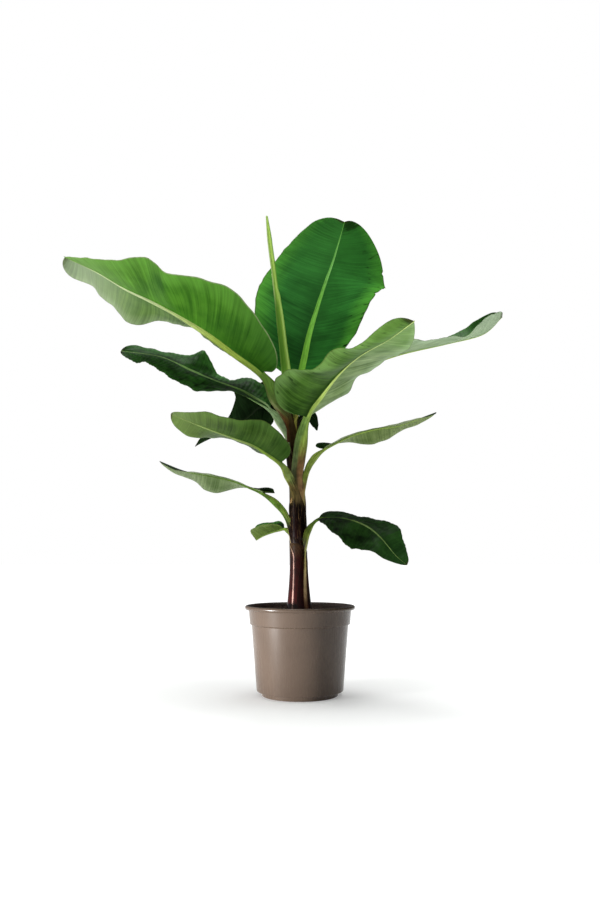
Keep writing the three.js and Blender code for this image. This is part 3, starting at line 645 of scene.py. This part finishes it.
def sheathSkin(add, look):
    # leaf sheath of the false stem: tight smooth skin, so long fine streaks under a clear gloss
    low, high = sheathSpan["low"], sheathSpan["high"]
    split = add("SeparateXYZ", [add("UVMap", uv_map="stemMap")])
    height, across = split.outputs["X"], split.outputs["Y"]
    veins = add("UVMap", uv_map="veinMap")
    fibreAt = add("Mapping", {"Vector": veins, "Scale": (metre / 70, metre / 1.3, 1)})
    fibre = add("TexNoise", {"Vector": fibreAt, "Scale": 1.0, "Detail": 4.0, "Roughness": 0.65})
    where = add("TexCoord").outputs["Object"]
    blot = add("TexNoise", {"Vector": where, "Scale": metre / 16, "Detail": 4.0})
    sway = add("MapRange", (fibre, 0.3, 0.7, -0.018, 0.018), clamp=False)
    ragged = add("Math", (height, sway), operation="ADD")
    share = add("MapRange", (ragged, low / metre, high / metre))
    ramps = []
    for part in ("keel", "flank"):
        stops = [((z - low) / (high - low), tone) for z, tone in look[part]]
        ramps.append(add("ValToRGB", [share], stops))
    toFlank = add("MapRange", (across, *look.get("span", sheathSpan["across"])), **smooth)
    colour = add("Mix", (toFlank, *ramps), **inColour)
    edge = add("MapRange", (across, 0.9, 0.97, 0.0, 0.7))
    colour = add("Mix", (edge, colour, "#3c2412"), **inColour)
    darker = add("MapRange", (fibre, 0.3, 0.62, 0.55, 1.15))
    colour = add("Mix", (1.0, colour, darker), **shading)
    # dry fibres come loose half way up, and the old sheaths are mottled
    dry = add("ValToRGB", [height], stops=[(0.33, 0.0), (0.345, 0.6), (0.5, 0.5), (0.56, 0.0)])
    loose = add("Math", (dry, add("MapRange", (fibre, 0.57, 0.66))), operation="MULTIPLY")
    colour = add("Mix", (loose, colour, "#8a6a44"), **inColour)
    dim = add("MapRange", (blot, 0.35, 0.6, 0.62, 1.1))
    aged = add("MapRange", (height, 0.55, 0.7, 1.0, 0.25))
    colour = add("Mix", (aged, colour, dim), **shading)
    # only those low on the stem are polished
    polish = add("MapRange", (height, 0.33, 0.35, 0.5, 0.0))
    bump = add("Bump", {"Height": fibre, "Strength": 0.3, "Distance": 0.0003})
    return add("BsdfPrincipled", {"Base Color": colour, "Normal": bump, "Coat Weight": polish, "IOR": 1.47,
                                  "Coat Roughness": 0.05, "Roughness": 0.34, "Specular IOR Level": 0.03})


blades = {name: newMaterial("waxedLeaf_" + name, waxedLeaf, tone) for name, tone in bladeTones.items()}
for name, leaf in leaves.items():
    sheath = newMaterial("leafSheath_" + name, sheathSkin, leaf)
    leafPiece(name, leaf, [blades[tone] for tone in leaf["tones"]] + [sheath])
print("leaves made")

# The core shows only between the sheaths: the inner sheaths' maroon, darkened as painted shade in the gaps
core = {"step": 6.0, "sides": 48, "girth": 120,
        "tones": [(185, "#3a0a10"), (560, "#2a1014"), (690, "#3a1a14")]}


def stemCore():
    step = core["step"]
    height = np.arange(stem["soilTop"] - stem["sunk"], stemRun[-1, 2] + step, step)[:, None]
    angle = np.linspace(0, fullTurn, core["sides"], endpoint=False)
    x, y, radius = stemAt(height)
    r = radius - stem["coreInset"]
    z = height + 0 * angle
    points = np.stack([x + r * np.cos(angle), y + r * np.sin(angle), z], -1)
    maps = {"veinMap": np.stack([z, angle / fullTurn * core["girth"] + 0 * z], -1) / metre,
            "stemMap": np.stack([z / metre, 0 * z + 1], -1)}
    # its dark tones paint the shade in the gaps between the sheaths
    inside = newMaterial("shadedCoreSheath", sheathSkin, {"keel": core["tones"], "flank": core["tones"]})
    piece = addPiece("stemCore", points, stripFaces(*z.shape)[0], [inside], maps=maps)
    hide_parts("pseudostem")


stemCore()
print("stem made")

# The new leaf, still rolled: its margin winds up the roll as a low step, and the outer turn ends
# lower down, where its margin crosses the front
roll = {"radii": [11, 12, 11.3, 10, 9.6, 7.8, 6.9, 6.5, 5.8, 2.6], "step": 1.4, "turns": 1.1, "sides": 56,
        "rows": 190, "wrapTip": 0.70, "wrapSides": 40, "wrapRows": 120, "wrapThick": 1.2}


def tenderSkin(add):
    # new leaf tissue: tender and waxed, so pale yellow-green with a soft gloss and fine long veins
    split = add("SeparateXYZ", [add("UVMap", uv_map="placeMap")])
    along, aside = split.outputs["X"], split.outputs["Y"]
    veins = add("UVMap", uv_map="veinMap")
    fibreAt = add("Mapping", {"Vector": veins, "Scale": (metre / 120, metre / 1.5, 1)})
    fibre = add("TexNoise", {"Vector": fibreAt, "Scale": 1.0, "Detail": 3.0})
    # these ramps run from the roll's left side to its right and paint light and shade by side over the
    # tissue's own pale yellow-green: painted highlights on the lit sides, painted shade on the others and
    # beside the margin's step
    lower = add("ValToRGB", [aside], stops=[
        (0.0, "#a5cc58"), (0.08, "#8ab848"), (0.2, "#76a83d"), (0.55, "#80b040"), (0.72, "#b4dc60"),
        (0.85, "#d8f890"), (0.97, "#a0cc50")])
    upper = add("ValToRGB", [aside], stops=[
        (0.0, "#e2fca8"), (0.15, "#d0ec90"), (0.32, "#98c444"), (0.5, "#c8f070"), (0.7, "#c8ee78"),
        (0.9, "#84b844")])
    colour = add("Mix", (add("MapRange", (along, 0.52, 0.62)), lower, upper), **inColour)
    darker = add("MapRange", (fibre, 0.3, 0.62, 0.75, 1.08))
    colour = add("Mix", (1.0, colour, darker), **shading)
    bump = add("Bump", {"Height": fibre, "Strength": 0.3, "Distance": 0.0003})
    return add("BsdfPrincipled", {"Base Color": colour, "Normal": bump, "IOR": 1.45, "Roughness": 0.4,
                                  "Specular IOR Level": 0.15})


def rollTurn(name, t, r, angle, veins, stretched, material):
    # one turn of the roll, from the radius and angle of every point round its middle line
    place, along, run = stretch(stem["path"], stem["topKnot"], len(stem["path"]) - 1, t)
    across = np.cross([0.0, 1.0, 0.0], along)
    across /= np.linalg.norm(across, axis=1)[:, None]
    third = np.cross(along, across)
    points = (place[:, None] + across[:, None] * (r * np.cos(angle))[..., None]
              + third[:, None] * (r * np.sin(angle))[..., None])
    t = t[:, None] + 0 * r
    # the second place of placeMap runs from the roll's left side to its right, for the light and shade
    # painted by side
    maps = {"veinMap": np.stack([t * run * stretched, veins + 0 * r], -1) / metre,
            "placeMap": np.stack([t, 0.5 + 0.5 * np.cos(angle)], -1)}
    return addPiece(name, points, stripFaces(*r.shape)[0], [material], maps=maps)


def rolledLeaf():
    material, wrapTip = newMaterial("rolledLeafSkin", tenderSkin), roll["wrapTip"]
    t = np.linspace(0, 1, roll["rows"])
    radius = smoothAlong(roll["radii"], t) - roll["step"] * ease((wrapTip + 0.06 - t) / 0.1)
    share = np.linspace(0, 1, roll["sides"])
    angle = fullTurn * (share + roll["turns"] * t[:, None])
    r = radius[:, None] - 0.9 * (radius / 10)[:, None] * (1 - share)
    inner = rollTurn("rolledLeaf", t, r, angle, share * 70, 1, material)
    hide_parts("spear_leaf")
    t = np.linspace(0, wrapTip, roll["wrapRows"])
    radius = smoothAlong(roll["radii"], t) + 0.4
    cover = 8 + 172 * ease((wrapTip - t) / 0.15) + 150 * ease((wrapTip - 0.12 - t) / 0.3)
    share = np.linspace(0, 1, roll["wrapSides"])
    angle = np.radians(share * cover[:, None] - 172)
    r = radius[:, None] - 0.5 * (1 - share)
    thin = roll["wrapThick"] * (1 - 0.8 * share ** 6)
    r, angle, veins = [np.concatenate([front, hidden[..., ::-1]], -1)
                       for front, hidden in ((r, r - thin), (angle, angle), (share, share))]
    outer = rollTurn("rolledLeafWrap", t, r, angle, veins * 65, 1 / wrapTip, material)


rolledLeaf()
print("rolled leaf made")

# The pot: injection-moulded polypropylene, so an even satin gloss with crisp moulded edges
pot = {"rimRadius": 124.0, "height": 196.0, "wall": 3.0, "footHeight": 10.0, "bandBottom": 154.0,
       "bandProud": 4.0, "segments": 160}


def mouldedPlastic(add):
    # IOR 1.49 is polypropylene. Faint flow lines, 6 mm wide, run down the wall
    where = add("TexCoord").outputs["Object"]
    cloud = add("TexNoise", {"Vector": where, "Scale": metre / 90, "Detail": 2.0})
    tone = add("ValToRGB", [cloud], stops=[(0.3, "#473b32"), (0.7, "#4f4238")])
    flowAt = add("Mapping", {"Vector": where, "Scale": (metre / 6, metre / 6, metre / 120)})
    flow = add("TexNoise", {"Vector": flowAt, "Scale": 1.0, "Detail": 3.0})
    satin = add("MapRange", (flow, 0.0, 1.0, 0.24, 0.3))
    bump = add("Bump", {"Height": flow, "Strength": 0.04, "Distance": 0.0004})
    return add("BsdfPrincipled", {"Base Color": tone, "Roughness": satin, "Normal": bump, "IOR": 1.49,
                                  "Specular IOR Level": 0.3})


def shadedInsidePlastic(add):
    # the same plastic inside, painted dark and reddish as the shade inside the pot, with a dull gloss
    where = add("TexCoord").outputs["Object"]
    shadeMottle = add("TexNoise", {"Vector": where, "Scale": metre / 14, "Detail": 5.0})
    # a mottled dark reddish brown: painted shade on the inner wall
    tone = add("ValToRGB", [shadeMottle], stops=[(0.35, "#21100b"), (0.65, "#3f271d")])
    return add("BsdfPrincipled", {"Base Color": tone, "IOR": 1.49, "Roughness": 0.5})


def rounded(corners, steps=5):
    # a profile whose corners are rounded by their own radii
    line = []
    for i, (r, z, fillet) in enumerate(corners):
        here = np.array([r, z], float)
        if fillet == 0:
            line.append(here)
            continue
        before = np.array(corners[i - 1][:2], float) - here
        after = np.array(corners[i + 1][:2], float) - here
        reach = min(fillet, 0.45 * np.linalg.norm(before), 0.45 * np.linalg.norm(after))
        start = here + before / np.linalg.norm(before) * reach
        end = here + after / np.linalg.norm(after) * reach
        for s in np.linspace(0, 1, steps):
            line.append((1 - s) ** 2 * start + 2 * s * (1 - s) * here + s ** 2 * end)
    return np.array(line)


def potPiece():
    # a profile that starts and ends on the axis, turned about it, with painted shade inside
    rim, top, wall = pot["rimRadius"], pot["height"], pot["wall"]
    wallFoot, wallTop = rim - 27.5, rim - 15.5
    footRadius, bandFoot, bandTop = wallFoot - 12, wallTop + pot["bandProud"], rim - 8.5
    foot, band = pot["footHeight"], pot["bandBottom"]
    profile = rounded([
        (0, 0, 0), (footRadius, 0, 1.5), (footRadius + 0.5, foot - 0.5, 1), (wallFoot, foot + 0.6, 1.6),
        (wallTop, band - 0.8, 0.6), (wallTop + 0.4, band, 0.4), (bandFoot, band + 1.2, 1.2),
        (bandTop, top - 9.2, 0.8), (rim - 2.6, top - 9, 1.6), (rim, top - 6.5, 2), (rim, top - 2.6, 2),
        (rim - 2.6, top, 2), (rim - 6, top, 2), (rim - 8.5, top - 2.5, 2),
        (bandTop - wall, top - 8, 1), (bandFoot - wall, band + 3, 1), (wallTop - wall, band, 1),
        (wallFoot - wall, foot + wall + 0.5, 2), (0, foot + wall, 0)])
    r, z = profile[1:-1, :1], profile[1:-1, 1:]
    angle = np.linspace(0, fullTurn, pot["segments"], endpoint=False)
    points = np.stack([r * np.cos(angle), r * np.sin(angle), z + 0 * angle], -1)
    pastTop = np.arange(len(profile)) > np.argmax(profile[:, 1])
    inside = np.argmax((profile[:, 0] < rim - 6) & pastTop)
    row = np.append(np.repeat(np.arange(len(r) - 1), pot["segments"]), [0, len(r)])
    plastics = [newMaterial("mouldedPolypropylene", mouldedPlastic),
                newMaterial("paintedShadePolypropylene", shadedInsidePlastic)]
    piece = addPiece("nurseryPot", points, discFaces(*points.shape[:2]), plastics, row >= inside)
    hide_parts("pot")


potPiece()
print("pot made")

# The compost: peat and bark fines, so a matt dark brown heap of crumbs
compost = {"radius": 111.5, "top": 188.0, "skirt": 14, "rings": 90, "spokes": 220,
           "lumps": [(31.0, 1.2), (13.0, 0.9), (6.0, 0.8), (3.4, 0.6)],    # their lengths and heights
           "grit": 0.7, "seed": 2}


def moistPeat(add):
    where = add("TexCoord").outputs["Object"]
    crumb = add("TexNoise", {"Vector": where, "Scale": metre / 7, "Detail": 6.0})
    tone = add("ValToRGB", [crumb], stops=[(0.3, "#160d08"), (0.55, "#2f1c12"), (0.75, "#54371f")])
    bump = add("Bump", {"Height": crumb, "Strength": 0.8, "Distance": 0.0015})
    return add("BsdfPrincipled", {"Base Color": tone, "Normal": bump, "IOR": 1.4, "Roughness": 0.92})


def compostPiece():
    draw = np.random.default_rng(compost["seed"])
    top, grit = compost["top"], compost["grit"]
    outward = np.linspace(0.01, 1, compost["rings"])[:, None]
    angle = np.linspace(0, fullTurn, compost["spokes"], endpoint=False)
    r = compost["radius"] * outward
    x, y = r * np.cos(angle), r * np.sin(angle)
    z = top - 1.5 - 2.0 * outward ** 8 + 0 * x
    for length, height in compost["lumps"]:
        for heap in range(3):
            a = draw.uniform(0, np.pi)
            ahead = x * np.cos(a) + y * np.sin(a)
            z += height / 2 * np.sin(ahead * fullTurn / length + draw.uniform(0, 6))
    z += draw.uniform(-grit, grit, z.shape)
    z[-1] = top - 3
    # a skirt goes down inside the pot
    points = np.stack([x, y, z], -1)
    points = np.concatenate([points, points[-1:]])
    points[-1, :, 2] = top - compost["skirt"]
    faces = [face[:1] + face[:0:-1] for face in discFaces(*points.shape[:2])]
    piece = addPiece("compost", points, faces, [newMaterial("moistPeatCompost", moistPeat)])
    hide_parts("soil")


compostPiece()
print("compost made")

# The studio: a plain pale floor, a white surround and soft lamps, brighter on the left
studio = {
    "floor": "#e6e7e7", "floorGlow": 0.28, "floorSize": 40.0,
    "lens": 30.4, "camera": (0, -1750, 310), "tilt": 7.81,
    "skyLeft": 0.42, "skyRight": 0.04,
    "sun": {"place": (40, 120, 3200), "aim": (0, 0, 0), "power": 3.3, "softness": 44},
    "keyBox": {"place": (-1560, -880, 90), "aim": (0, 0, 110), "power": 2.2, "size": (0.3, 0.12),
               "spread": 26, "spares": "low_right_leaf"},
}


def litAcrylic(add):
    # opal acrylic lit from below, so matt, even and with pale shadows
    return add("BsdfPrincipled", {"Base Color": studio["floor"], "Roughness": 0.7,
                                  "Specular IOR Level": 0.1, "Emission Color": "#ffffff",
                                  "Emission Strength": studio["floorGlow"]})


def surround():
    # the plant is lit by a soft sky that fades from left to right, and stands before plain white
    world = bpy.data.worlds.new("surround")
    bpy.context.scene.world = world
    world.use_nodes = True
    world.node_tree.nodes.clear()
    add = partial(addNode, world.node_tree)
    across = add("SeparateXYZ", [add("TexCoord").outputs["Generated"]]).outputs["X"]
    level = add("MapRange", (across, -0.8, 0.8, studio["skyLeft"], studio["skyRight"]))
    sky = add("Background", {"Color": "#ffffff", "Strength": level})
    white = add("Background", {"Color": "#ffffff", "Strength": 1.0})
    seen = add("LightPath").outputs["Is Camera Ray"]
    add("OutputWorld", {"Surface": add("MixShader", (seen, sky, white))})


def addLamp(name, kind, look):
    # a lamp at a place, turned to face another
    light = bpy.data.lights.new(name, kind)
    light.energy = look["power"]
    lamp = addObject(name, light)
    place, aim = Vector(look["place"]) / metre, Vector(look["aim"]) / metre
    lamp.location = place
    lamp.rotation_euler = (aim - place).to_track_quat("-Z", "Y").to_euler()
    return light, lamp


def studioSet():
    half = studio["floorSize"] / 2
    mesh = bpy.data.meshes.new("floor")
    corners = [(-half, -half, 0), (half, -half, 0), (half, half, 0), (-half, half, 0)]
    mesh.from_pydata(corners, [], [(0, 1, 2, 3)])
    mesh.materials.append(newMaterial("litOpalAcrylic", litAcrylic))
    addObject("floor", mesh)
    surround()
    sun, holder = addLamp("softSun", "SUN", studio["sun"])
    sun.angle = math.radians(studio["sun"]["softness"])
    # the narrow beam passes by the one leaf that it would graze and turn white
    look = studio["keyBox"]
    box, holder = addLamp("keyBox", "AREA", look)
    box.shape = "RECTANGLE"
    box.size, box.size_y = look["size"]
    box.spread = math.radians(look["spread"])
    lit = bpy.data.collections.new("litByKeyBox")
    for name in ["floor", "nurseryPot", "compost", "stemCore", *leaves]:
        if name != look["spares"]:
            lit.objects.link(bpy.data.objects[name])
    holder.light_linking.receiver_collection = lit
    camera = bpy.data.cameras.new("camera")
    camera.lens = studio["lens"]
    holder = addObject("camera", camera)
    holder.location = Vector(studio["camera"]) / metre
    holder.rotation_euler = (math.radians(90 + studio["tilt"]), 0, 0)
    bpy.context.scene.camera = holder
    bpy.context.scene.view_settings.view_transform = "Standard"


studioSet()
print("studio made")
